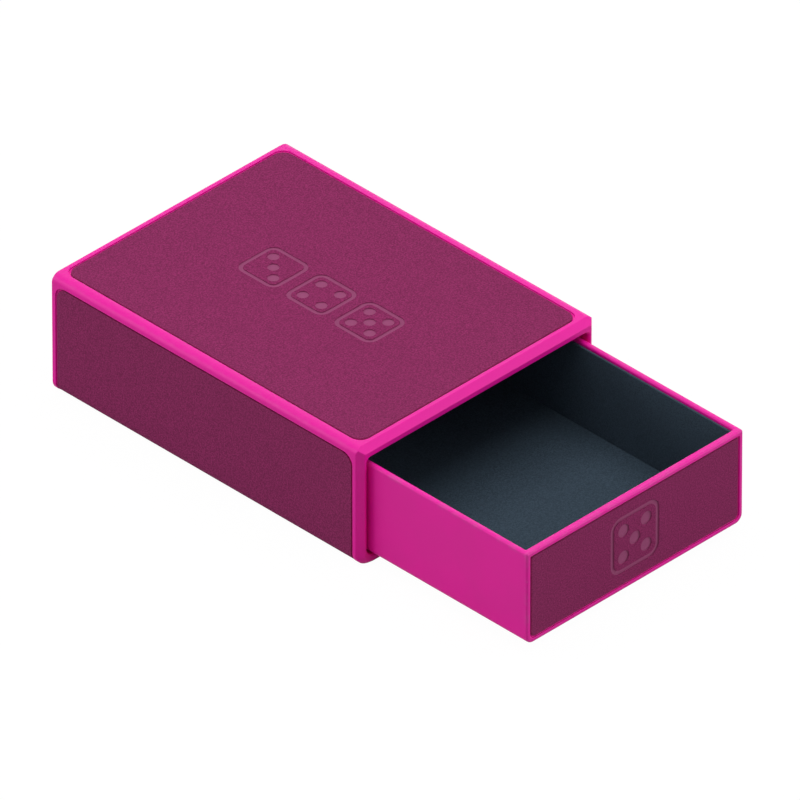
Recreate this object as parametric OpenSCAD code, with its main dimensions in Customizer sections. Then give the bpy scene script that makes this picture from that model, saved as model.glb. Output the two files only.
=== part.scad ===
// Dice storage chest: a moulded sleeve faced with microfibre panels, and a lined drawer
// that slides out of its front. Millimetres, +Z up, and the drawer opens towards -Y.
// The origin is the centre of the sleeve's bottom face.

/* [Sleeve] */
// Width of the sleeve
sleeve_w = 83.2; // [70:0.1:110]
// Length of the sleeve, from its front rim to its rear face
sleeve_l = 110.7; // [90:0.1:150]
// Height of the sleeve
sleeve_h = 35.7; // [30:0.1:50]
// Thickness of the side walls
wall_t = 2.6; // [2.2:0.1:3.6]
// Thickness of the roof
roof_t = 3.3; // [2.6:0.1:4.4]
// Thickness of the floor
floor_t = 2.3; // [2:0.1:3.4]
// Size of the 45 degree chamfer round both ends
end_chamfer = 1.7; // [0.6:0.1:1.8]
// Radius of the two upper long edges
top_edge_r = 1.95; // [1.8:0.05:2.6]
// Radius of the two lower long edges
bottom_edge_r = 3.5; // [2:0.1:5]
// Bevel on the inner edge of the front rim
mouth_bevel = 0.35; // [0.1:0.05:0.6]
// Radius of the upper corners of the bay that the drawer runs in
bay_top_r = 1.5; // [0.3:0.1:1.8]

/* [Panels] */
// Thickness of the microfibre
panel_t = 0.5; // [0.3:0.05:0.8]
// Thickness of the foam sheet behind the microfibre
backing_t = 0.4; // [0.2:0.05:0.7]
// Width of the groove left round a panel
panel_groove = 0.45; // [0.1:0.05:0.6]
// Frame between the top panel and a long edge of the sleeve
long_border = 3.35; // [2.4:0.05:6]
// Frame between the upper edge of a side panel and the top
side_border = 3.1; // [2.4:0.05:6]
// Frame between a panel and the chamfer of an end
end_border = 1.6; // [0.8:0.05:5]
// Corner radius of the sleeve's panels
panel_corner_r = 3.2; // [1:0.1:6]
// Depth of a panel's face below the frame, which keeps the microfibre off the table
panel_set = 0.1; // [0.05:0.01:0.25]

/* [Drawer] */
// How far the drawer stands out of the sleeve
opening = 54.8; // [0:0.1:100]
// Space between the drawer and each side wall of the bay
side_gap = 0.9; // [0.5:0.05:1.6]
// Space between the drawer and the floor of the bay
under_gap = 0.3; // [0.1:0.05:0.5]
// Space between the drawer's rim and the ceiling of the bay
headroom = 2.2; // [1.5:0.1:5]
// Space behind the drawer when its front is flush with the sleeve
rear_gap = 0.3; // [0.2:0.05:1]
// Thickness of the drawer's sides
side_t = 1.6; // [1.2:0.1:2.4]
// Thickness of the drawer's front, its panel included
front_t = 2; // [1.8:0.1:3]
// Thickness of the drawer's floor
tray_floor_t = 1.6; // [1.2:0.1:2.4]
// Radius of the drawer's two lower long edges
drawer_bottom_r = 2.4; // [1.2:0.1:4]
// Radius between the floor and the sides inside the drawer
cavity_r = 0.8; // [0.3:0.1:0.9]
// Bevel round the front and the rear of the drawer
drawer_bevel = 0.3; // [0.1:0.05:0.5]
// Frame round the panel on the drawer's front
front_border = 1.7; // [0.8:0.05:4]
// Radius of the lower corners of the drawer's panel
front_panel_low_r = 1.4; // [0.5:0.1:4]
// Radius of the upper corners of the drawer's panel
front_panel_top_r = 0.4; // [0.2:0.1:4]

/* [Lining] */
// Thickness of the lining on the drawer's walls
lining_t = 0.6; // [0.3:0.05:1.2]
// Thickness of the lining on the drawer's floor
pad_t = 1; // [0.9:0.1:2]
// Distance from the drawer's rim down to the lining
lining_drop = 0.9; // [0.2:0.1:3]
// Clearance round each cut piece of lining
lining_fit = 0.1; // [0.05:0.05:0.3]

/* [Rails] */
// Running clearance between the drawer and the rails
slide_gap = 0.2; // [0.1:0.05:0.4]
// Distance from the front rim to the rails
rail_start = 9; // [4:0.5:30]
// Width of the two rails that hold the drawer down
hold_down_w = 2.7; // [2:0.1:5]
// Height of a side rail
side_rail_h = 1.6; // [0.8:0.1:3]
// Distance of a side rail from the drawer's bottom edge or rim
side_rail_inset = 5; // [4:0.5:9]
// Length of the slope that leads the drawer on to a side rail
lead_in = 3; // [1:0.5:8]

/* [Magnets] */
// Diameter of a magnet
magnet_d = 6; // [4:0.5:10]
// Thickness of a magnet
magnet_t = 1.1; // [0.8:0.1:2]
// Plastic left over the face of a magnet
magnet_skin = 0.5; // [0.3:0.1:1]
// Clearance round a magnet in its pocket
magnet_fit = 0.05; // [0.02:0.01:0.15]
// Distance of each magnet from the middle
magnet_x = 27; // [20:0.5:31]

/* [Push window] */
// Width of the window in the rear, through which the drawer is pushed out
window_w = 26; // [14:0.5:30]
// Height of the window
window_h = 13; // [8:0.5:18]

/* [Hidden] */
$fn = 64;

// How far a cutting shape runs past the face that it cuts
over = 1;
// How far a rail is rooted in the wall behind it
root = 0.4;

face_d = panel_set + panel_t;
recess_d = face_d + backing_t;
rear_t = recess_d + magnet_t + magnet_skin;
sleeve_front_y = -sleeve_l / 2;
sleeve_rear_y = sleeve_l / 2;

// The bay that the drawer runs in
bay_w = sleeve_w - 2 * wall_t;
bay_h = sleeve_h - floor_t - roof_t;
bay_rear_y = sleeve_rear_y - rear_t;
bay_bottom_r = drawer_bottom_r - side_gap;
bay_top_z = floor_t + bay_h;

// The drawer
drawer_w = bay_w - 2 * side_gap;
drawer_h = bay_h - under_gap - headroom;
drawer_l = sleeve_l - rear_t - rear_gap;
drawer_z = floor_t + under_gap;
drawer_top_z = drawer_z + drawer_h;
drawer_front_y = sleeve_front_y - opening;
drawer_rear_y = drawer_front_y + drawer_l;
tray_rear_t = magnet_t + magnet_skin;

// The space inside the drawer, and the lining in it
cavity_w = drawer_w - 2 * side_t;
cavity_front_y = drawer_front_y + front_t;
cavity_rear_y = drawer_rear_y - tray_rear_t;
cavity_z = drawer_z + tray_floor_t;
pad_top_z = cavity_z + pad_t;
lining_h = drawer_top_z - lining_drop - pad_top_z;
end_lining_w = cavity_w - 2 * lining_t - 2 * lining_fit;

// The panels
end_inset = end_chamfer + end_border;
panel_l = sleeve_l - 2 * end_inset;
top_panel_w = sleeve_w - 2 * long_border;
wrap_top_z = sleeve_h - side_border;
rear_panel_w = sleeve_w - 2 * end_inset;
rear_panel_h = sleeve_h - 2 * end_inset;
front_panel_w = drawer_w - 2 * front_border;
front_panel_h = drawer_h - 2 * front_border;

// The rails, the window and the magnets
rail_front_y = sleeve_front_y + rail_start;
hold_down_drop = headroom - slide_gap;
side_rail_proud = side_gap - slide_gap;
window_z = sleeve_h / 2;
magnet_z = drawer_z + drawer_h / 2;

// Colours
plastic = [0.86, 0.14, 0.55];
microfibre = [0.47, 0.16, 0.32];
foam = [0.25, 0.25, 0.27];
lining = [0.13, 0.16, 0.2];
nickel = [0.75, 0.75, 0.77];

// A drawing in X and Z, drawn out along Y from y0 to y1
module along_y(y0, y1)
    translate([0, y1, 0]) rotate([90, 0, 0]) linear_extrude(y1 - y0) children();

// A drawing in Y and Z, drawn out along X from x0 to x1
module along_x(x0, x1)
    translate([x0, 0, 0]) rotate([90, 0, 90]) linear_extrude(x1 - x0) children();

// Rectangle that stands on the axis, with one radius for its lower corners and one for its upper
module rounded_rect(w, h, r_low, r_top) {
    corners = [[-1, 0, 0, r_low], [1, 0, 90, r_low], [1, 1, 180, r_top], [-1, 1, 270, r_top]];
    difference() {
        translate([-w / 2, 0]) square([w, h]);
        for (c = corners) if (c[3] > 0)
            translate([c[0] * w / 2, c[1] * h]) rotate(c[2]) difference() {
                translate([-over, -over]) square(c[3] + over);
                translate([c[3], c[3]]) circle(c[3]);
            }
    }
}

// Bar along Y whose section steps in or out. Each step is [y, how far the section is drawn in].
// Its long edges are rounded, and where the section changes the round becomes a cone.
module stepped_bar(w, h, r_low, r_top, steps) {
    first = steps[0][0];
    last = steps[len(steps) - 1][0];
    back = [for (i = [len(steps) - 1 : -1 : 0]) steps[i]];
    edges = [[-1, 0, 0, r_low], [1, 0, -90, r_low], [1, 1, 180, r_top], [-1, 1, 90, r_top]];
    difference() {
        intersection() {
            translate([0, 0, -over]) linear_extrude(h + 2 * over)
                polygon(concat([for (s = steps) [w / 2 - s[1], s[0]]],
                    [for (s = back) [s[1] - w / 2, s[0]]]));
            along_x(-w / 2 - over, w / 2 + over)
                polygon(concat([for (s = steps) [s[0], s[1]]], [for (s = back) [s[0], h - s[1]]]));
        }
        for (e = edges) if (e[3] > 0)
            translate([e[0] * w / 2, 0, e[1] * h]) rotate([0, e[2], 0]) difference() {
                translate([-over, first - over, -over])
                    cube([e[3] + over, last - first + 2 * over, e[3] + over]);
                translate([e[3], 0, e[3]]) rotate([-90, 0, 0]) rotate_extrude()
                    polygon(concat([[0, first]], [for (s = steps) [max(e[3] - s[1], 0), s[0]]],
                        [[0, last]]));
            }
    }
}

// The sleeve's outline, drawn in by a depth
module sleeve_outline(depth)
    translate([0, depth]) rounded_rect(sleeve_w - 2 * depth, sleeve_h - 2 * depth,
        max(bottom_edge_r - depth, 0), max(top_edge_r - depth, 0));

// Layers of the panels, between two depths below the outer face. grow widens the outline.
module top_layer(outer, inner, grow)
    translate([0, -panel_l / 2 - grow, sleeve_h - inner]) linear_extrude(inner - outer)
        rounded_rect(top_panel_w + 2 * grow, panel_l + 2 * grow, panel_corner_r, panel_corner_r);

module wrap_layer(outer, inner, grow)
    intersection() {
        along_y(-panel_l / 2 - grow, panel_l / 2 + grow) difference() {
            sleeve_outline(outer);
            sleeve_outline(inner);
        }
        along_x(-sleeve_w, sleeve_w) translate([0, -sleeve_h])
            rounded_rect(panel_l + 2 * grow, sleeve_h + wrap_top_z + grow, 0, panel_corner_r);
    }

module rear_layer(outer, inner, grow)
    along_y(sleeve_rear_y - inner, sleeve_rear_y - outer)
        translate([0, end_inset - grow]) rounded_rect(rear_panel_w + 2 * grow,
            rear_panel_h + 2 * grow, panel_corner_r, panel_corner_r);

module front_layer(outer, inner, grow)
    along_y(drawer_front_y + outer, drawer_front_y + inner)
        translate([0, drawer_z + front_border - grow])
            rounded_rect(front_panel_w + 2 * grow, front_panel_h + 2 * grow,
                front_panel_low_r, front_panel_top_r);

// Window in the rear, with half-round ends
module window(grow)
    along_y(bay_rear_y - over, sleeve_rear_y + over) translate([0, window_z]) {
        square([window_w - window_h, window_h + 2 * grow], center = true);
        for (s = [-1, 1]) translate([s * (window_w - window_h) / 2, 0]) circle(window_h / 2 + grow);
    }

// Pair of discs, one each side of the middle, with their faces at y0 and y1
module disc_pair(y0, y1, r)
    for (s = [-1, 1])
        along_y(y0, y1) translate([s * magnet_x, magnet_z]) circle(r);

// Rails on the sides that centre the drawer, and rails above its rim that keep it level
module rails() {
    wall_x = bay_w / 2;
    heights = [drawer_z + side_rail_inset, drawer_top_z - side_rail_inset - side_rail_h];
    for (s = [0, 1]) mirror([s, 0, 0]) {
        along_x(wall_x - hold_down_w, wall_x + root) polygon([
            [rail_front_y, bay_top_z + root], [rail_front_y, bay_top_z],
            [rail_front_y + hold_down_drop, bay_top_z - hold_down_drop],
            [bay_rear_y + root, bay_top_z - hold_down_drop], [bay_rear_y + root, bay_top_z + root]]);
        for (z = heights) translate([0, 0, z]) linear_extrude(side_rail_h) polygon([
            [wall_x + root, rail_front_y], [wall_x, rail_front_y],
            [wall_x - side_rail_proud, rail_front_y + lead_in],
            [wall_x - side_rail_proud, bay_rear_y + root], [wall_x + root, bay_rear_y + root]]);
    }
}

// Moulded sleeve: frame, four walls, rear wall and rails in one piece
module sleeve_shell() color(plastic) difference() {
    union() {
        difference() {
            stepped_bar(sleeve_w, sleeve_h, bottom_edge_r, top_edge_r, [
                [sleeve_front_y, end_chamfer], [sleeve_front_y + end_chamfer, 0],
                [sleeve_rear_y - end_chamfer, 0], [sleeve_rear_y, end_chamfer]]);
            translate([0, 0, floor_t]) stepped_bar(bay_w, bay_h, bay_bottom_r, bay_top_r, [
                [sleeve_front_y - mouth_bevel, -2 * mouth_bevel],
                [sleeve_front_y + mouth_bevel, 0], [bay_rear_y, 0]]);
        }
        rails();
    }
    top_layer(-over, recess_d, panel_groove);
    wrap_layer(-over, recess_d, panel_groove);
    rear_layer(-over, recess_d, panel_groove);
    window(0);
    disc_pair(bay_rear_y + magnet_skin, sleeve_rear_y, magnet_d / 2 + magnet_fit);
}

module top_panel() color(microfibre) top_layer(panel_set, face_d, 0);
module top_backing() color(foam) top_layer(face_d, recess_d, 0);

// One strip that runs down the left side, under the floor and up the right side
module wrap_panel() color(microfibre) wrap_layer(panel_set, face_d, 0);
module wrap_backing() color(foam) wrap_layer(face_d, recess_d, 0);

module rear_panel() color(microfibre) difference() {
    rear_layer(panel_set, face_d, 0);
    window(panel_groove);
}
module rear_backing() color(foam) difference() {
    rear_layer(face_d, recess_d, 0);
    window(panel_groove);
}

// Magnets sit in pockets behind the rear panel
module sleeve_magnets() color(nickel)
    disc_pair(bay_rear_y + magnet_skin, bay_rear_y + magnet_skin + magnet_t, magnet_d / 2);

// Moulded drawer, open at the top, with a bed for the panel on its front
module drawer_tray() color(plastic) difference() {
    translate([0, 0, drawer_z]) stepped_bar(drawer_w, drawer_h, drawer_bottom_r, 0, [
        [drawer_front_y, drawer_bevel], [drawer_front_y + drawer_bevel, 0],
        [drawer_rear_y - drawer_bevel, 0], [drawer_rear_y, drawer_bevel]]);
    along_y(cavity_front_y, cavity_rear_y) translate([0, cavity_z])
        rounded_rect(cavity_w, drawer_h, cavity_r, 0);
    front_layer(-over, recess_d, panel_groove);
    disc_pair(cavity_rear_y - over, cavity_rear_y + magnet_t, magnet_d / 2 + magnet_fit);
}

module front_panel() color(microfibre) front_layer(panel_set, face_d, 0);
module front_backing() color(foam) front_layer(face_d, recess_d, 0);

// Lining on the drawer's floor, thicker than that on its walls and rounded along its sides
module floor_lining() color(lining)
    along_y(cavity_front_y + lining_fit, cavity_rear_y - lining_fit) translate([0, cavity_z])
        rounded_rect(cavity_w - 2 * lining_fit, pad_t, cavity_r, 0);

// Strip of lining on one side, from x0 to x1, standing on the floor's lining
module side_lining(x0, x1)
    translate([x0, cavity_front_y + lining_fit, pad_top_z])
        cube([x1 - x0, cavity_rear_y - cavity_front_y - 2 * lining_fit, lining_h]);

module left_lining() color(lining) side_lining(-cavity_w / 2, lining_t - cavity_w / 2);
module right_lining() color(lining) side_lining(cavity_w / 2 - lining_t, cavity_w / 2);

// Strip of lining on the front or the rear, from y0 to y1, between the side strips
module end_lining(y0, y1)
    translate([-end_lining_w / 2, y0, pad_top_z]) cube([end_lining_w, y1 - y0, lining_h]);

module front_lining() color(lining) end_lining(cavity_front_y, cavity_front_y + lining_t);
module rear_lining() color(lining) end_lining(cavity_rear_y - lining_t, cavity_rear_y);

// Magnets sit in pockets behind the rear lining and face those in the sleeve
module drawer_magnets() color(nickel)
    disc_pair(cavity_rear_y, cavity_rear_y + magnet_t, magnet_d / 2);

sleeve_shell();
top_panel();
top_backing();
wrap_panel();
wrap_backing();
rear_panel();
rear_backing();
sleeve_magnets();
drawer_tray();
front_panel();
front_backing();
floor_lining();
left_lining();
right_lining();
front_lining();
rear_lining();
drawer_magnets();
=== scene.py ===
import math
import bmesh
import bpy
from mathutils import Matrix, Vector


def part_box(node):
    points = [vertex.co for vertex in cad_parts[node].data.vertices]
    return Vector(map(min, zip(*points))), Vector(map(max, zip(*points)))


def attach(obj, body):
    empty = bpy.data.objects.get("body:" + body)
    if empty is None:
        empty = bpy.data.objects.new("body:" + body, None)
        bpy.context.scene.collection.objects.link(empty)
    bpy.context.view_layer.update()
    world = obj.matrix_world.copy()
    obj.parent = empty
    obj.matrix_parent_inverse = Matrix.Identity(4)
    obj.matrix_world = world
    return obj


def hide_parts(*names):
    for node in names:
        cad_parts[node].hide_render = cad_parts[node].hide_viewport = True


# Dice storage chest: a moulded sleeve faced with microfibre panels, and a lined drawer in it

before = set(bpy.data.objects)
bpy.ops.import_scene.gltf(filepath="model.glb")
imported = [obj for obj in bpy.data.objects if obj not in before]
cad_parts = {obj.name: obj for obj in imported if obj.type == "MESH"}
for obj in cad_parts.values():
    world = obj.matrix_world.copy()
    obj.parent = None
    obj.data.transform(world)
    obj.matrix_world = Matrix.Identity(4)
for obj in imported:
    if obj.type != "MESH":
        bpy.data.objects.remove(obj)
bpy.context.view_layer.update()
mm = 0.001
over = 2 * mm  # how far a cutter runs past the face that it cuts
aligned = 0.999  # cosine from which an edge or a face counts as lying along an axis
sleeveLow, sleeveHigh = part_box("sleeve_shell")
trayLow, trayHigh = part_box("drawer_tray")
sleeveMiddleZ = (sleeveLow.z + sleeveHigh.z) / 2


# Modelling tools: each does what a hand would do in the viewport

def pickOnly(obj):
    bpy.ops.object.select_all(action="DESELECT")
    obj.select_set(True)
    bpy.context.view_layer.objects.active = obj


def addBlock(name, low, high):
    low, high = Vector(low), Vector(high)
    bpy.ops.object.select_all(action="DESELECT")
    bpy.ops.mesh.primitive_cube_add(size=1, location=(low + high) / 2, scale=high - low)
    block = bpy.context.active_object
    block.name = name
    bpy.ops.object.transform_apply(location=True, rotation=True, scale=True)
    return block


def addDisc(name, centre, radius, depth, alongY=False, sides=40):
    turn = (math.pi / 2, 0, 0) if alongY else (0, 0, 0)
    bpy.ops.object.select_all(action="DESELECT")
    bpy.ops.mesh.primitive_cylinder_add(
        vertices=sides, radius=radius, depth=depth, location=centre, rotation=turn)
    disc = bpy.context.active_object
    disc.name = name
    bpy.ops.object.transform_apply(location=True, rotation=True, scale=True)
    return disc


def editParts(obj, kind, wanted, operator, **settings):
    pickOnly(obj)
    bpy.ops.object.mode_set(mode="EDIT")
    modes = {"verts": "VERT", "edges": "EDGE", "faces": "FACE"}
    bpy.ops.mesh.select_mode(type=modes[kind])
    bpy.ops.mesh.select_all(action="DESELECT")
    mesh = bmesh.from_edit_mesh(obj.data)
    for part in getattr(mesh, kind):
        if wanted(part):
            part.select_set(True)
    mesh.select_flush_mode()
    bmesh.update_edit_mesh(obj.data)
    operator(**settings)
    bpy.ops.object.mode_set(mode="OBJECT")


def roundEdges(obj, axis, radius, chosen=None, segments=10):
    def wanted(edge):
        first, second = (v.co for v in edge.verts)
        span = second - first
        straight = abs(span[axis]) > aligned * span.length
        return straight and (chosen is None or chosen((first + second) / 2))
    editParts(obj, "edges", wanted, bpy.ops.mesh.bevel, offset=radius, offset_type="OFFSET",
              segments=segments, profile=0.5, affect="EDGES", clamp_overlap=False)


def drawOutEnd(obj, side, reach, across, up, lift=0):
    # The end grows by across to the left and right and by up above and below, then rises by lift
    points = [vertex.co for vertex in obj.data.vertices]
    low = Vector([min(point[axis] for point in points) for axis in range(3)])
    high = Vector([max(point[axis] for point in points) for axis in range(3)])
    middle, span = (low + high) / 2, high - low

    def drawOut():
        bpy.ops.mesh.extrude_region_move(TRANSFORM_OT_translate={"value": (0, side * reach, lift)})
        bpy.ops.transform.resize(value=(1 + 2 * across / span.x, 1, 1 + 2 * up / span.z),
                                 center_override=middle + Vector((0, 0, lift)))
    editParts(obj, "faces", lambda face: face.normal.y * side > aligned, drawOut)


def carve(obj, cutter, operation="DIFFERENCE"):
    pickOnly(obj)
    cut = obj.modifiers.new("carve", "BOOLEAN")
    cut.operation = operation
    cut.solver = "EXACT"
    cut.object = cutter
    bpy.ops.object.modifier_apply(modifier=cut.name)
    bpy.data.objects.remove(cutter)


def softenEdges(obj, width, segments=3, angle=32):
    pickOnly(obj)
    bevel = obj.modifiers.new("soften", "BEVEL")
    bevel.width = width
    bevel.segments = segments
    bevel.limit_method = "ANGLE"
    bevel.angle_limit = math.radians(angle)
    bevel.use_clamp_overlap = False
    bpy.ops.object.modifier_apply(modifier=bevel.name)


def smoothFaces(obj, angle=50):
    pickOnly(obj)
    bpy.ops.object.shade_smooth_by_angle(angle=math.radians(angle))
    weigh = obj.modifiers.new("weigh", "WEIGHTED_NORMAL")
    weigh.keep_sharp = True
    bpy.ops.object.modifier_apply(modifier=weigh.name)


def upper(point):
    return point.z > sleeveMiddleZ


def lower(point):
    return point.z < sleeveMiddleZ


# Material tools: a socket that takes part in sums, and a finish that grows its own nodes

class Wire:
    def __init__(self, finish, socket):
        self.finish = finish
        self.socket = socket

    def __add__(self, other):
        return self.finish.sum("ADD", self, other)

    def __sub__(self, other):
        return self.finish.sum("SUBTRACT", self, other)

    def __rsub__(self, other):
        return self.finish.sum("SUBTRACT", other, self)

    def __mul__(self, other):
        return self.finish.sum("MULTIPLY", self, other)

    def size(self):
        return self.finish.sum("ABSOLUTE", self)

    def limit(self):
        return self.finish.node("ShaderNodeClamp", {}, {"Value": self, "Min": 0.0, "Max": 1.0})

    def ramp(self, low, high):
        return self.finish.node("ShaderNodeMapRange", {"interpolation_type": "SMOOTHSTEP"},
                                {"Value": self, "From Min": low, "From Max": high})

    __radd__ = __add__
    __rmul__ = __mul__


class Finish:
    def __init__(self, name):
        self.material = bpy.data.materials.new(name)
        self.material.use_nodes = True
        self.tree = self.material.node_tree
        self.tree.nodes.clear()
        self.place = self.node("ShaderNodeTexCoord", outlet="Object")

    def node(self, kind, settings=None, sockets=None, outlet=0):
        made = self.tree.nodes.new(kind)
        for key, value in (settings or {}).items():
            setattr(made, key, value)
        pairs = sockets.items() if isinstance(sockets, dict) else enumerate(sockets or ())
        for key, value in pairs:
            if isinstance(value, Wire):
                self.tree.links.new(value.socket, made.inputs[key])
            else:
                made.inputs[key].default_value = value
        return Wire(self, made.outputs[outlet]) if made.outputs else None

    def sum(self, operation, *values):
        return self.node("ShaderNodeMath", {"operation": operation}, values)

    def noise(self, grain, detail=2.0, roughness=0.5):
        return self.node("ShaderNodeTexNoise", {},
                         {"Vector": self.place, "Scale": 1 / grain, "Detail": detail,
                          "Roughness": roughness}, "Fac")

    def blend(self, mask, first, second):
        return self.node("ShaderNodeMix", {"data_type": "RGBA"},
                         {0: mask, 6: first, 7: second}, 2)

    def along(self, axis):
        return self.node("ShaderNodeSeparateXYZ", {}, {"Vector": self.place}, axis)

    def shader(self, colour, roughness, height, depth, strength, **constants):
        bump = self.node("ShaderNodeBump", {},
                         {"Strength": strength, "Distance": depth, "Height": height})
        sockets = {"Base Color": colour, "Roughness": roughness, "Normal": bump}
        sockets.update(constants)
        surface = self.node("ShaderNodeBsdfPrincipled", {}, sockets)
        self.node("ShaderNodeOutputMaterial", {}, {"Surface": surface})
        return self.material


def shade(colour, factor):
    return tuple(min(part * factor, 1.0) for part in colour[:3]) + (1.0,)


driftRange = (0.3, 0.7)  # the part of a noise's range that shows as slow drift
plasticLook = {
    "colour": (0.83, 0.003, 0.345), "darker": 0.975, "lighter": 1.02, "drift": 14 * mm,
    # The paler colour along the box's edges is partly rubbed wear and partly a painted edge
    # highlight
    "rubbedAndHighlight": (0.67, 0.06, 0.335), "rubAndHighlightWidth": 1.6 * mm, "rubAndHighlightShare": 0.6,
    "patch": 3.5 * mm, "patchFrom": 0.35, "patchTo": 0.75,
    "grain": 0.11 * mm, "grainDepth": 0.012 * mm, "grainStrength": 0.35,
    "roughness": 0.44, "driftRough": 0.05, "rubShine": 0.08, "grainRough": 0.1, "gloss": 0.25,
}


def makePlastic(name, low, high):
    look = plasticLook
    finish = Finish(name)
    middle, half = (low + high) / 2, (high - low) / 2
    near = -1.0  # ends at 0 on an open face and at 1 along an edge of the box
    for axis in range(3):
        inward = half[axis] - (finish.along(axis) - middle[axis]).size()
        near = near + (1 - inward.ramp(0.0, look["rubAndHighlightWidth"]))
    patchy = finish.noise(look["patch"], detail=3.0, roughness=0.6)
    # Along the box's edges the colour turns paler: partly rubbed wear, partly a painted highlight;
    # the lower roughness there is the wear
    rubAndHighlight = near.limit() * patchy.ramp(look["patchFrom"], look["patchTo"])
    drift = finish.noise(look["drift"]).ramp(*driftRange)
    grain = finish.noise(look["grain"], roughness=0.6)
    base = finish.blend(drift, shade(look["colour"], look["darker"]),
                        shade(look["colour"], look["lighter"]))
    colour = finish.blend(rubAndHighlight * look["rubAndHighlightShare"], base, look["rubbedAndHighlight"] + (1.0,))
    roughness = look["roughness"] + drift * look["driftRough"] - rubAndHighlight * look["rubShine"]
    roughness = roughness + (grain - 0.5) * look["grainRough"]
    return finish.shader(colour, roughness, grain, look["grainDepth"], look["grainStrength"],
                         **{"Specular IOR Level": look["gloss"]})


napLook = {  # what both fabrics share
    "tuftShare": 0.7, "hairShare": 0.3, "mottleFrom": 0.36, "mottleTo": 0.64,
    "brushedShare": 0.12, "brushedShade": 0.8, "mottleShine": 0.06,
    "tuftHeight": 0.6, "hairHeight": 0.4, "bumpStrength": 0.6,
    "gloss": 0.09, "sheen": 0.06, "sheenRoughness": 0.45, "pressed": None,
}
microfibreLook = {
    **napLook, "colour": (0.24, 0.0236, 0.1045), "contrast": 0.34, "roughness": 0.9,
    "tuft": 0.42 * mm, "hair": 0.13 * mm, "brushed": 9 * mm, "bump": 0.08 * mm,
    "sheenTint": (1.0, 0.45, 0.72, 1.0), "pressed": (0.345, 0.085, 0.197),
    "pressFrom": 0.10 * mm, "pressTo": 0.22 * mm, "pressShare": 0.8, "pressShine": 0.16,
    "pressFlat": 0.75,
}
liningLook = {
    **napLook, "colour": (0.046, 0.070, 0.096), "contrast": 0.26, "roughness": 0.93,
    "tuft": 0.36 * mm, "hair": 0.11 * mm, "brushed": 7 * mm, "bump": 0.07 * mm,
    "sheenTint": (0.6, 0.75, 1.0, 1.0),
}


def makeNap(name, look, faceAxis=None, faceLevel=0.0, inwards=1):
    finish = Finish(name)
    tuft = finish.noise(look["tuft"], detail=3.0, roughness=0.65)
    hair = finish.noise(look["hair"], roughness=0.6)
    brushed = finish.noise(look["brushed"]).ramp(*driftRange)
    mottle = tuft * look["tuftShare"] + hair * look["hairShare"]
    mottle = mottle.ramp(look["mottleFrom"], look["mottleTo"])
    dark = shade(look["colour"], 1 - look["contrast"])
    light = shade(look["colour"], 1 + look["contrast"])
    colour = finish.blend(mottle, dark, light)
    colour = finish.blend(brushed * look["brushedShare"], colour,
                          shade(look["colour"], look["brushedShade"]))
    roughness = look["roughness"] - mottle * look["mottleShine"]
    height = tuft * look["tuftHeight"] + hair * look["hairHeight"]
    if look["pressed"]:
        depth = (finish.along(faceAxis) - faceLevel) * inwards
        pressed = depth.ramp(look["pressFrom"], look["pressTo"])
        colour = finish.blend(pressed * look["pressShare"], colour, look["pressed"] + (1.0,))
        roughness = roughness - pressed * look["pressShine"]
        height = height * (1 - pressed * look["pressFlat"])
    return finish.shader(colour, roughness, height, look["bump"], look["bumpStrength"],
                         **{"Specular IOR Level": look["gloss"], "Sheen Weight": look["sheen"],
                            "Sheen Roughness": look["sheenRoughness"],
                            "Sheen Tint": look["sheenTint"]})


foamLook = {
    "cell": 0.25 * mm, "wallFrom": 0.02, "wallTo": 0.22, "drift": 2 * mm,
    # The hollow colour is darker than the walls: painted shade in the cells' hollows
    "wall": (0.075, 0.072, 0.078, 1.0), "hollow": (0.03, 0.029, 0.032, 1.0),
    "roughness": 0.84, "driftRough": 0.12, "depth": 0.05 * mm, "strength": 0.7, "gloss": 0.2,
}


def makeFoam(name):
    look = foamLook
    finish = Finish(name)
    cells = finish.node("ShaderNodeTexVoronoi", {"feature": "DISTANCE_TO_EDGE"},
                        {"Vector": finish.place, "Scale": 1 / look["cell"]}, "Distance")
    hollow = cells.ramp(look["wallFrom"], look["wallTo"])
    drift = finish.noise(look["drift"], detail=3.0)
    # The hollows of the cells, which the bump sinks, are painted darker as painted shade
    colour = finish.blend(hollow, look["wall"], look["hollow"])
    roughness = look["roughness"] + drift * look["driftRough"]
    return finish.shader(colour, roughness, 1 - hollow, look["depth"], look["strength"],
                         **{"Specular IOR Level": look["gloss"]})


nickelLook = {
    "colour": (0.66, 0.64, 0.6, 1.0), "streak": 0.7 * mm, "squeeze": (1.0, 1.0, 9.0),
    "tarnish": (0.4, 0.38, 0.35, 1.0), "tarnishShare": 0.4,
    "spot": 0.5 * mm, "spotFrom": 0.6, "spotTo": 0.72,
    "roughness": 0.2, "streakRough": 0.16, "spotRough": 0.15, "depth": 0.01 * mm, "strength": 0.2,
}


def makeNickel(name):
    look = nickelLook
    finish = Finish(name)
    drawn = finish.node("ShaderNodeMapping", {}, {"Vector": finish.place, "Scale": look["squeeze"]})
    streak = finish.node("ShaderNodeTexNoise", {},
                         {"Vector": drawn, "Scale": 1 / look["streak"], "Detail": 3.0}, "Fac")
    spot = finish.noise(look["spot"]).ramp(look["spotFrom"], look["spotTo"])
    colour = finish.blend(spot * look["tarnishShare"], look["colour"], look["tarnish"])
    roughness = look["roughness"] + streak * look["streakRough"] + spot * look["spotRough"]
    return finish.shader(colour, roughness, streak, look["depth"], look["strength"], Metallic=1.0)


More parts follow.
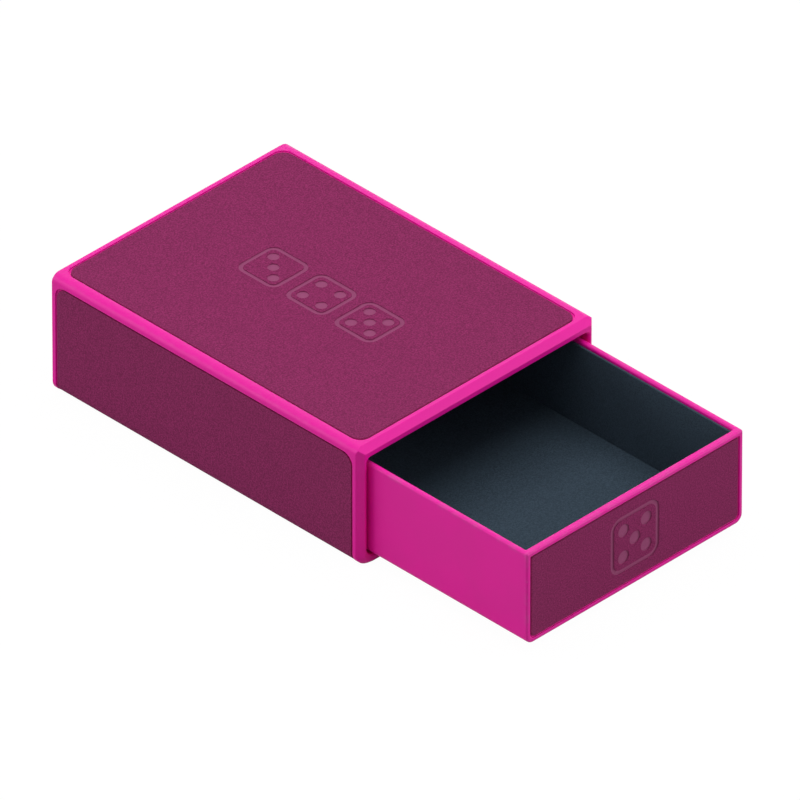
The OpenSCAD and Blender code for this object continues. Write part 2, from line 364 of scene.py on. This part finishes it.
print("materials")
topLow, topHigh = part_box("top_panel")
frontLow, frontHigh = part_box("front_panel")
finishes = {
    "sleevePlastic": makePlastic("sleevePlastic", sleeveLow, sleeveHigh),
    "drawerPlastic": makePlastic("drawerPlastic", trayLow, trayHigh),
    "topMicrofibre": makeNap("topMicrofibre", microfibreLook, 2, topHigh.z, -1),
    "frontMicrofibre": makeNap("frontMicrofibre", microfibreLook, 1, frontLow.y, 1),
    "plainMicrofibre": makeNap("plainMicrofibre", dict(microfibreLook, pressed=None)),
    "drawerLining": makeNap("drawerLining", liningLook),
    "foamSheet": makeFoam("foamSheet"),
    "nickelPlate": makeNickel("nickelPlate"),
}


def finishPiece(obj, body, slot, finish, *nodes):
    smoothFaces(obj)
    obj.data.materials.clear()
    obj.data.materials.append(finishes[finish])
    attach(obj, body)
    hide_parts(*nodes)


# The sleeve

sleeve = {
    "topEdge": 1.95 * mm, "topEdgeLoss": 1 * mm, "bottomEdge": 3.5 * mm,
    "topSteps": 11, "bottomSteps": 15,  # odd, so that no edge runs into a mitre's ridge
    "endChamfer": 1.7 * mm, "footChamfer": 0.55 * mm, "rearCorner": 2.6 * mm,
    "wall": 2.6 * mm, "roof": 3.45 * mm, "floor": 2.3 * mm, "magnetSkin": 0.5 * mm,
    "mouthBevel": 0.4 * mm, "bayCorner": 1.5 * mm, "bayCornerSteps": 8,
    "bayFoot": 2.6 * mm, "bayFootSteps": 10,
    "groove": 0.45 * mm, "grooveDepth": 0.5 * mm, "snug": 0.02 * mm,
    "panelCorner": 3.2 * mm, "softEdge": 0.16 * mm,
    "windowWidth": 26 * mm, "windowHeight": 13 * mm, "windowSteps": 16,
    "windowRound": 0.999,  # share of a full half circle at each end, so that the bevels don't meet
    "pocketRadius": 3.05 * mm, "magnetX": 27 * mm,
}
rails = {
    "start": 9 * mm, "holdWidth": 2.7 * mm, "holdDrop": 1.85 * mm, "sideHeight": 1.6 * mm,
    "sideProud": 0.7 * mm, "sideInset": 5 * mm, "leadIn": 3 * mm, "root": 0.4 * mm,
}
bayHalf = sleeveHigh.x - sleeve["wall"]
bayFloor = sleeveLow.z + sleeve["floor"]
bayTop = sleeveHigh.z - sleeve["roof"]
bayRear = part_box("sleeve_magnets")[0].y - sleeve["magnetSkin"]
bedDepth = sleeveHigh.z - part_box("top_backing")[0].z
bedSteps = ((sleeve["grooveDepth"], sleeve["groove"]), (bedDepth, sleeve["snug"]))
wrapLow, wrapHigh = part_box("wrap_panel")
rearLow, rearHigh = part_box("rear_panel")


def sleeveBar(name, depth, startY, endY):
    # The outline at a depth below the faces. A deep one keeps a little of the top's rounding
    bar = addBlock(name, (sleeveLow.x + depth, startY, sleeveLow.z + depth),
                   (sleeveHigh.x - depth, endY, sleeveHigh.z - depth))
    topRadius = sleeve["topEdge"] - min(depth, sleeve["topEdgeLoss"])
    roundEdges(bar, 1, topRadius, upper, sleeve["topSteps"])
    roundEdges(bar, 1, sleeve["bottomEdge"] - depth, lower, sleeve["bottomSteps"])
    return bar


def bayCutter():
    bevel = sleeve["mouthBevel"]
    mouth = sleeveLow.y + bevel
    cutter = addBlock("bay", (-bayHalf, mouth, bayFloor), (bayHalf, bayRear, bayTop))
    roundEdges(cutter, 1, sleeve["bayCorner"], upper, sleeve["bayCornerSteps"])
    roundEdges(cutter, 1, sleeve["bayFoot"], lower, sleeve["bayFootSteps"])
    drawOutEnd(cutter, -1, 2 * bevel, 2 * bevel, 2 * bevel)
    return cutter


def stadium(name, grow):
    height = sleeve["windowHeight"] + 2 * grow
    halfWidth = sleeve["windowWidth"] / 2 + grow
    hole = addBlock(name, (-halfWidth, bayRear - over, sleeveMiddleZ - height / 2),
                    (halfWidth, sleeveHigh.y + over, sleeveMiddleZ + height / 2))
    roundEdges(hole, 1, height / 2 * sleeve["windowRound"], None, sleeve["windowSteps"])
    return hole


def addRail(name, low, high, drawnBack, distance):
    # A lead-in: the rail's inner front corners are drawn back by the distance
    rail = addBlock(name, low, high)
    editParts(rail, "verts", drawnBack, bpy.ops.transform.translate, value=(0, distance, 0))
    return rail


def addRails(obj):
    startY = sleeveLow.y + rails["start"]
    endY = bayRear + rails["root"]
    for side in (-1, 1):
        inner = side * (bayHalf - rails["holdWidth"])
        outer = side * (bayHalf + rails["root"])
        low = (min(inner, outer), startY, bayTop - rails["holdDrop"])
        high = (max(inner, outer), endY, bayTop + rails["root"])
        rail = addRail("holdDown", low, high, lambda v: v.co.y < 0 and v.co.z < bayTop,
                       rails["holdDrop"])
        carve(obj, rail, "UNION")
        inner = side * (bayHalf - rails["sideProud"])
        for railZ in (trayLow.z + rails["sideInset"],
                      trayHigh.z - rails["sideInset"] - rails["sideHeight"]):
            low = (min(inner, outer), startY, railZ)
            high = (max(inner, outer), endY, railZ + rails["sideHeight"])
            rail = addRail("sideRail", low, high, lambda v: v.co.y < 0 and abs(v.co.x) < bayHalf,
                           rails["leadIn"])
            carve(obj, rail, "UNION")


def panelBlock(name, low, high, grow, axis, cornerLow, cornerHigh=None):
    low, high = Vector(low), Vector(high)
    spread = Vector([0 if part == axis else grow for part in range(3)])
    block = addBlock(name, low - spread, high + spread)
    if cornerHigh is None:
        roundEdges(block, axis, cornerLow)
    else:
        roundEdges(block, axis, cornerLow, lower)
        roundEdges(block, axis, cornerHigh, upper)
    return block


def wrapBlock(name, outerDepth, innerDepth, grow):
    reach = sleeveHigh.y
    side = addBlock(name, (sleeveLow.x - over, wrapLow.y - grow, sleeveLow.z - over),
                    (sleeveHigh.x + over, wrapHigh.y + grow, wrapHigh.z + grow))
    roundEdges(side, 0, sleeve["panelCorner"], upper)
    if outerDepth is not None:
        carve(side, sleeveBar("outside", outerDepth, -reach, reach), "INTERSECT")
    carve(side, sleeveBar("core", innerDepth, -reach, reach))
    return side


def endKeeper(side, topCorner, foot):
    # A block with a chamfered end. foot is how high the chamfer reaches up the end from below
    chamfer = sleeve["endChamfer"]
    run = over + chamfer
    spread = Vector((over, over, over))
    low, high = sleeveLow - spread, sleeveHigh + spread
    if side < 0:
        low.y = sleeveLow.y + run
    else:
        high.y = sleeveHigh.y - run
    keeper = addBlock("keeper", low, high)
    roundEdges(keeper, 1, sleeve["bottomEdge"], lower, sleeve["bottomSteps"])
    if topCorner:
        roundEdges(keeper, 1, topCorner, upper, sleeve["topSteps"])
    drawOutEnd(keeper, side, run, -run, -(run + over + foot) / 2, (foot - chamfer) / 2)
    return keeper


def buildSleeve():
    corner = sleeve["panelCorner"]
    shell = sleeveBar("sleeveShell", 0, sleeveLow.y - 2 * over, sleeveHigh.y + 2 * over)
    carve(shell, endKeeper(-1, None, sleeve["footChamfer"]), "INTERSECT")
    carve(shell, endKeeper(1, sleeve["rearCorner"], sleeve["endChamfer"]), "INTERSECT")
    carve(shell, bayCutter())
    addRails(shell)
    for depth, gap in bedSteps:
        low = (topLow.x, topLow.y, sleeveHigh.z - depth)
        high = (topHigh.x, topHigh.y, sleeveHigh.z + over)
        carve(shell, panelBlock("topBed", low, high, gap, 2, corner))
        carve(shell, wrapBlock("wrapBed", None, depth, gap))
        low = (rearLow.x, sleeveHigh.y - depth, rearLow.z)
        high = (rearHigh.x, sleeveHigh.y + over, rearHigh.z)
        carve(shell, panelBlock("rearBed", low, high, gap, 1, corner))
    carve(shell, stadium("window", 0))
    magnetLow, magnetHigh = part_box("sleeve_magnets")
    for side in (-1, 1):
        centre = (side * sleeve["magnetX"], magnetLow.y + over,
                  (magnetLow.z + magnetHigh.z) / 2)
        carve(shell, addDisc("pocket", centre, sleeve["pocketRadius"], 2 * over, True))
    softenEdges(shell, sleeve["softEdge"])
    finishPiece(shell, "sleeve", "moulded_plastic", "sleevePlastic", "sleeve_shell")


print("sleeve")
buildSleeve()


# The microfibre panels, with pressed square pip marks

mark = {
    "line": 1.15 * mm, "depth": 0.35 * mm, "cornerSteps": 8,
    "corner": 0.2, "pip": 0.11, "pipSpread": 0.235,  # shares of the mark's size
    "topSize": 14 * mm, "topPitch": 17 * mm, "topPips": (3, 4, 5), "frontSize": 17 * mm,
    "frontPips": 5, "softEdge": 0.1 * mm,
}
pipPlaces = {
    3: ((-1, -1), (0, 0), (1, 1)),
    4: ((-1, -1), (-1, 1), (1, -1), (1, 1)),
    5: ((-1, -1), (-1, 1), (0, 0), (1, -1), (1, 1)),
}


def pressMark(panel, centre, size, pips, flat):
    half, line, depth = size / 2, mark["line"], mark["depth"]
    normalAxis = 2 if flat else 1

    def spot(across, up, out):
        if flat:
            return Vector((centre.x + across, centre.y + up, centre.z + out))
        return Vector((centre.x + across, centre.y - out, centre.z + up))

    def tile(name, reach, bottom, top, corner):
        corners = (spot(-reach, -reach, bottom), spot(reach, reach, top))
        low = [min(pair) for pair in zip(*corners)]
        high = [max(pair) for pair in zip(*corners)]
        block = addBlock(name, low, high)
        roundEdges(block, normalAxis, corner, None, mark["cornerSteps"])
        return block
    ring = tile("ring", half, -depth, over, size * mark["corner"])
    carve(ring, tile("ringCore", half - line, -2 * depth, 2 * over, size * mark["corner"] - line))
    carve(panel, ring)
    for across, up in pipPlaces[pips]:
        place = spot(across * size * mark["pipSpread"], up * size * mark["pipSpread"],
                     over - depth)
        carve(panel, addDisc("pip", place, size * mark["pip"], 2 * over, not flat))


def buildPanels():
    corner = sleeve["panelCorner"]
    top = panelBlock("topPanel", topLow, topHigh, 0, 2, corner)
    for place, pips in enumerate(mark["topPips"]):
        centre = Vector((0, (1 - place) * mark["topPitch"], topHigh.z))
        pressMark(top, centre, mark["topSize"], pips, True)
    softenEdges(top, mark["softEdge"])
    finishPiece(top, "sleeve", "microfibre", "topMicrofibre", "top_panel")
    thickness = topHigh.z - topLow.z
    setBack = sleeveHigh.z - topHigh.z
    wrap = wrapBlock("wrapPanel", setBack, setBack + thickness, 0)
    softenEdges(wrap, mark["softEdge"])
    finishPiece(wrap, "sleeve", "microfibre", "plainMicrofibre", "wrap_panel")
    rear = panelBlock("rearPanel", rearLow, rearHigh, 0, 1, corner)
    carve(rear, stadium("rearHole", sleeve["groove"]))
    softenEdges(rear, mark["softEdge"])
    finishPiece(rear, "sleeve", "microfibre", "plainMicrofibre", "rear_panel")
    front = panelBlock("frontPanel", frontLow, frontHigh, 0, 1,
                       drawer["panelLowCorner"], drawer["panelTopCorner"])
    centre = Vector((0, frontLow.y, (frontLow.z + frontHigh.z) / 2))
    pressMark(front, centre, mark["frontSize"], mark["frontPips"], False)
    softenEdges(front, mark["softEdge"])
    finishPiece(front, "drawer", "microfibre", "frontMicrofibre", "front_panel")


# The drawer and its lining

drawer = {
    "side": 1.6 * mm, "front": 2.0 * mm, "floor": 1.6 * mm, "lowEdge": 2.4 * mm, "lowSteps": 12,
    "cavityCorner": 0.8 * mm, "cavitySteps": 6, "rimEdge": 0.6 * mm, "rimSteps": 4,
    "panelLowCorner": 1.4 * mm, "panelTopCorner": 0.4 * mm, "softEdge": 0.14 * mm,
    "liningEdge": 0.18 * mm, "floorEdge": 0.3 * mm, "floorCorner": 0.76 * mm,
}


def buildTray():
    tray = addBlock("drawerTray", trayLow, trayHigh)
    roundEdges(tray, 1, drawer["lowEdge"], lower, drawer["lowSteps"])
    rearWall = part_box("drawer_magnets")[0].y
    cavity = addBlock("cavity", (trayLow.x + drawer["side"], trayLow.y + drawer["front"],
                                 trayLow.z + drawer["floor"]),
                      (trayHigh.x - drawer["side"], rearWall, trayHigh.z + over))
    roundEdges(cavity, 1, drawer["cavityCorner"], lower, drawer["cavitySteps"])
    carve(tray, cavity)
    softenEdges(tray, drawer["rimEdge"], drawer["rimSteps"])
    for depth, gap in bedSteps:
        low = (frontLow.x, trayLow.y - over, frontLow.z)
        high = (frontHigh.x, trayLow.y + depth, frontHigh.z)
        carve(tray, panelBlock("frontBed", low, high, gap, 1,
                               drawer["panelLowCorner"], drawer["panelTopCorner"]))
    magnetLow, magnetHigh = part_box("drawer_magnets")
    for side in (-1, 1):
        centre = (side * sleeve["magnetX"], magnetHigh.y - over,
                  (magnetLow.z + magnetHigh.z) / 2)
        carve(tray, addDisc("pocket", centre, sleeve["pocketRadius"], 2 * over, True))
    softenEdges(tray, drawer["softEdge"])
    finishPiece(tray, "drawer", "moulded_plastic", "drawerPlastic", "drawer_tray")


def buildLinings():
    low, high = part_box("floor_lining")
    floorPiece = addBlock("floorLining", low, high)
    middleZ = (low.z + high.z) / 2
    roundEdges(floorPiece, 1, drawer["floorCorner"], lambda point: point.z < middleZ,
               drawer["cavitySteps"])
    softenEdges(floorPiece, drawer["floorEdge"])
    finishPiece(floorPiece, "drawer", "lining", "drawerLining", "floor_lining")
    for name in ("left", "right", "front", "rear"):
        low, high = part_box(name + "_lining")
        strip = addBlock(name + "Lining", low, high)
        softenEdges(strip, drawer["liningEdge"])
        finishPiece(strip, "drawer", "lining", "drawerLining", name + "_lining")


print("panels")
buildPanels()
print("drawer")
buildTray()
buildLinings()

# Pieces that stay as in the solids, because they show an edge at most
keptPieces = {
    "foamSheet": ("top_backing", "wrap_backing", "rear_backing", "front_backing"),
    "nickelPlate": ("sleeve_magnets", "drawer_magnets"),
}
for finish, names in keptPieces.items():
    for name in names:
        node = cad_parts[name]
        node.data.materials.clear()
        node.data.materials.append(finishes[finish])


# Floor, light and camera

studio = {
    "floorHalf": 6.0, "floorColour": (0.6, 0.6, 0.6, 1.0), "fibre": 4 * mm, "fibreShade": 0.995,
    "fibreFrom": 0.2, "fibreTo": 0.8,
    "whiteShare": 0.95, "glossShare": 0.3, "white": 1.03, "worldStrength": 0.28, "skyWhite": 2.6,
    "lampDistance": 1.2,
    "lamps": {  # azimuth, elevation, size, power
        "overheadLamp": (0, 90, 1.2, 9.7),
        "leftLamp": (135, 10, 0.8, 6.3),
        "rightLamp": (-45, 10, 0.8, 6.3),
    },
}
lens = {
    "millimetres": 1400, "sensor": 36, "distance": 7.78, "clipStart": 0.5, "clipEnd": 100,
    "target": Vector((15.04, -12.66, 2.27)) * mm, "back": Vector((-0.579, -0.579, 0.574)),
}


def whenSeen(finish, rays):
    parts = [finish.node("ShaderNodeLightPath", outlet=ray) * share for ray, share in rays.items()]
    seen = parts[0]
    for part in parts[1:]:
        seen = finish.sum("MAXIMUM", seen, part)
    return seen


def buildFloor():
    bpy.ops.object.select_all(action="DESELECT")
    bpy.ops.mesh.primitive_plane_add(size=2 * studio["floorHalf"], location=(0, 0, sleeveLow.z))
    floor = bpy.context.active_object
    floor.name = "studioFloor"
    paper = Finish("studioPaper")
    fibre = paper.noise(studio["fibre"]).ramp(studio["fibreFrom"], studio["fibreTo"])
    fibreTone = shade(studio["floorColour"], studio["fibreShade"])
    tone = paper.blend(fibre, fibreTone, studio["floorColour"])
    matt = paper.node("ShaderNodeBsdfDiffuse", {}, {"Color": tone})
    white = paper.node("ShaderNodeEmission", {}, {"Strength": studio["white"]})
    share = whenSeen(paper, {"Is Camera Ray": studio["whiteShare"],
                             "Is Transmission Ray": studio["whiteShare"],
                             "Is Glossy Ray": studio["glossShare"]})
    mixed = paper.node("ShaderNodeMixShader", {}, [share, matt, white])
    paper.node("ShaderNodeOutputMaterial", {}, {"Surface": mixed})
    floor.data.materials.append(paper.material)


def buildWorld():
    world = bpy.data.worlds.new("studioWorld")
    bpy.context.scene.world = world
    world.use_nodes = True
    tree = world.node_tree
    tree.nodes.clear()
    path = tree.nodes.new("ShaderNodeLightPath")
    soft = tree.nodes.new("ShaderNodeBackground")
    soft.inputs["Strength"].default_value = studio["worldStrength"]
    white = tree.nodes.new("ShaderNodeBackground")
    white.inputs["Strength"].default_value = studio["skyWhite"]
    for shader in (soft, white):
        shader.inputs["Color"].default_value = (1, 1, 1, 1)
    share = path.outputs["Is Camera Ray"]
    for ray in ("Is Glossy Ray", "Is Transmission Ray"):
        most = tree.nodes.new("ShaderNodeMath")
        most.operation = "MAXIMUM"
        tree.links.new(share, most.inputs[0])
        tree.links.new(path.outputs[ray], most.inputs[1])
        share = most.outputs[0]
    mixed = tree.nodes.new("ShaderNodeMixShader")
    output = tree.nodes.new("ShaderNodeOutputWorld")
    tree.links.new(share, mixed.inputs[0])
    tree.links.new(soft.outputs[0], mixed.inputs[1])
    tree.links.new(white.outputs[0], mixed.inputs[2])
    tree.links.new(mixed.outputs[0], output.inputs["Surface"])


def buildLamps():
    for name, (azimuth, elevation, size, power) in studio["lamps"].items():
        lamp = bpy.data.lights.new(name, "AREA")
        lamp.shape = "SQUARE"
        lamp.size = size
        lamp.energy = power
        holder = bpy.data.objects.new(name, lamp)
        turn, rise = math.radians(azimuth), math.radians(elevation)
        outwards = Vector((math.cos(rise) * math.cos(turn), math.cos(rise) * math.sin(turn),
                           math.sin(rise)))
        holder.location = outwards * studio["lampDistance"]
        holder.rotation_euler = outwards.to_track_quat("Z", "Y").to_euler()
        bpy.context.scene.collection.objects.link(holder)


def buildCamera():
    camera = bpy.data.cameras.new("studioCamera")
    camera.lens = lens["millimetres"]
    camera.sensor_width = lens["sensor"]
    camera.clip_start = lens["clipStart"]
    camera.clip_end = lens["clipEnd"]
    holder = bpy.data.objects.new("studioCamera", camera)
    back = lens["back"].normalized()
    holder.location = lens["target"] + back * lens["distance"]
    holder.rotation_euler = back.to_track_quat("Z", "Y").to_euler()
    bpy.context.scene.collection.objects.link(holder)
    bpy.context.scene.camera = holder


print("studio")
buildFloor()
buildWorld()
buildLamps()
buildCamera()
bpy.context.scene.view_settings.view_transform = "Standard"
